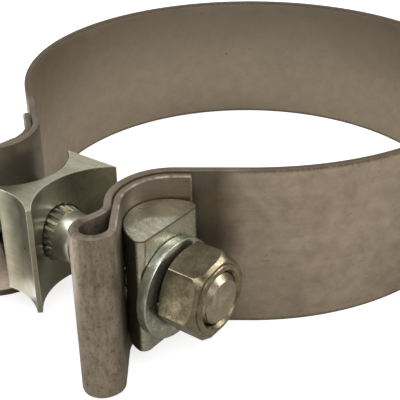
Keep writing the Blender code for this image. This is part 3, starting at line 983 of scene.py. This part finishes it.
finish_with(make_band(), band_steel)
finish_with(make_bar("nut_side_bar_body", "nut_side_bar", "nut_side", 1, (0, 0)),
            zinc, bar_edge, shaded_bar_back)
finish_with(make_bar("head_side_bar_body", "head_side_bar", "root", -1, HEAD_SIDE_SHIFT),
            zinc, bar_edge, shaded_bar_back)
finish_with(make_block(), block_zinc, block_edge)
finish_with(make_washer(), washer_rim, washer_zinc)
finish_with(make_nut(), nut_zinc)
# The shank and the knurl get the lighter copies of the bolt's zinc: painted light
for piece, material in zip(make_bolt(), (shank_zinc_painted_light, bolt_zinc, knurl_zinc_painted_light, bolt_zinc)):
    finish_with(piece, material)

# Floor. It is white to the eye, but throws back less light than it shows

WHITE = (1, 1, 1, 1)
FLOOR_HALF_WIDTH = 3.0
PAPER_TONE = (0.55, 0.55, 0.55, 1)
PAPER_GLOW = 0.72
PAPER_BOUNCE = (0.50, 0.48, 0.44, 1)

sheet = bmesh.new()
bmesh.ops.create_grid(sheet, x_segments=1, y_segments=1, size=FLOOR_HALF_WIDTH)
floor_mesh = bpy.data.meshes.new("floor")
sheet.to_mesh(floor_mesh)
sheet.free()
floor = add_piece("floor", floor_mesh)
floor.location.z = band_low.z
paper = bpy.data.materials.new("paper")
graph = Graph(paper)
pale = graph.add("BsdfDiffuse", {"Color": PAPER_TONE})
glow = graph.add("Emission", {"Color": WHITE, "Strength": PAPER_GLOW})
shown = graph.add("AddShader", {0: pale.outputs[0], 1: glow.outputs[0]})
bounced = graph.add("BsdfDiffuse", {"Color": PAPER_BOUNCE})
seen = graph.add("LightPath").outputs["Is Camera Ray"]
mixed = graph.add("MixShader", {0: seen, 1: bounced.outputs[0], 2: shown.outputs[0]})
graph.add("OutputMaterial", {0: mixed.outputs[0]})
floor_mesh.materials.append(paper)

# Camera

EYE = (0.13704, 0.09738, 0.09747)
LOOK = (-0.698, -0.5234, -0.4887)
ROLL_RADIANS = -0.0096
FOCAL_LENGTH = 76.51

look = Vector(LOOK).normalized()
level = look.cross(Vector((0, 0, 1))).normalized()
upright = level.cross(look)
cos_roll, sin_roll = math.cos(ROLL_RADIANS), math.sin(ROLL_RADIANS)
right = cos_roll * level + sin_roll * upright
up = cos_roll * upright - sin_roll * level
lens = bpy.data.cameras.new("camera")
lens.lens = FOCAL_LENGTH
lens.clip_start = 10 * MM
camera = add_piece("camera", lens)
camera.matrix_world = Matrix((right, up, -look)).transposed().to_4x4()
camera.location = EYE
bpy.context.scene.camera = camera

# Light: four soft lights above, a card that lifts the undersides, and a sky for the reflections

LUGS = (0.02, 0.01, 0.015)
LIGHTS = (  # name, place, target, width and height, watts
    ("key", (0.288, 0.324, 0.504), LUGS, (0.5, 0.5), 2.6),
    ("left", (0.2, -0.416, 0.656), LUGS, (0.5, 0.4), 4.0),
    ("back", (-0.72, -0.54, 0.46), (0, 0, 0.015), (1.3, 0.5), 2.2),
    ("right", (-0.3689, 0.4389, 0.4018), (0.03, 0.02, 0.015), (0.35, 0.25), 1.8),
    ("card", (0.18, -0.14, 0.0015), (0.18, -0.14, 1.0), (0.26, 0.26), 0.42),
)
SKY = ((0.0, 0.3), (0.5, 0.25), (0.72, 0.5), (0.86, 0.3))  # height from nadir to zenith, grey
SKY_BLUE = 0.97

for name, place, target, size, watts in LIGHTS:
    data = bpy.data.lights.new(name, "AREA")
    data.shape = "RECTANGLE"
    data.size, data.size_y = size
    data.energy = watts
    light = add_piece(name, data)
    light.visible_camera = False
    light.location = place
    aim = Vector(target) - Vector(place)
    light.rotation_euler = aim.to_track_quat("-Z", "Y").to_euler()

world = bpy.data.worlds.new("studio")
bpy.context.scene.world = world
graph = Graph(world)
up_share = graph.add("SeparateXYZ", {0: graph.add("TexCoord").outputs["Generated"]}).outputs[2]
up_share = graph.add("Math", {0: up_share, 1: 0.5, 2: 0.5}, operation="MULTIPLY_ADD").outputs[0]
ramp = graph.add("ValToRGB", {0: up_share})
for i, (height, grey) in enumerate(SKY):
    stops = ramp.color_ramp.elements
    stop = stops[i] if i < 2 else stops.new(height)
    stop.position = height
    stop.color = (grey, grey, grey * SKY_BLUE, 1)
around = graph.add("Background", {"Color": ramp.outputs[0]})
backdrop = graph.add("Background", {"Color": WHITE})
seen = graph.add("LightPath").outputs["Is Camera Ray"]
mixed = graph.add("MixShader", {0: seen, 1: around.outputs[0], 2: backdrop.outputs[0]})
graph.add("OutputWorld", {0: mixed.outputs[0]})

bpy.context.scene.view_settings.view_transform = "Standard"
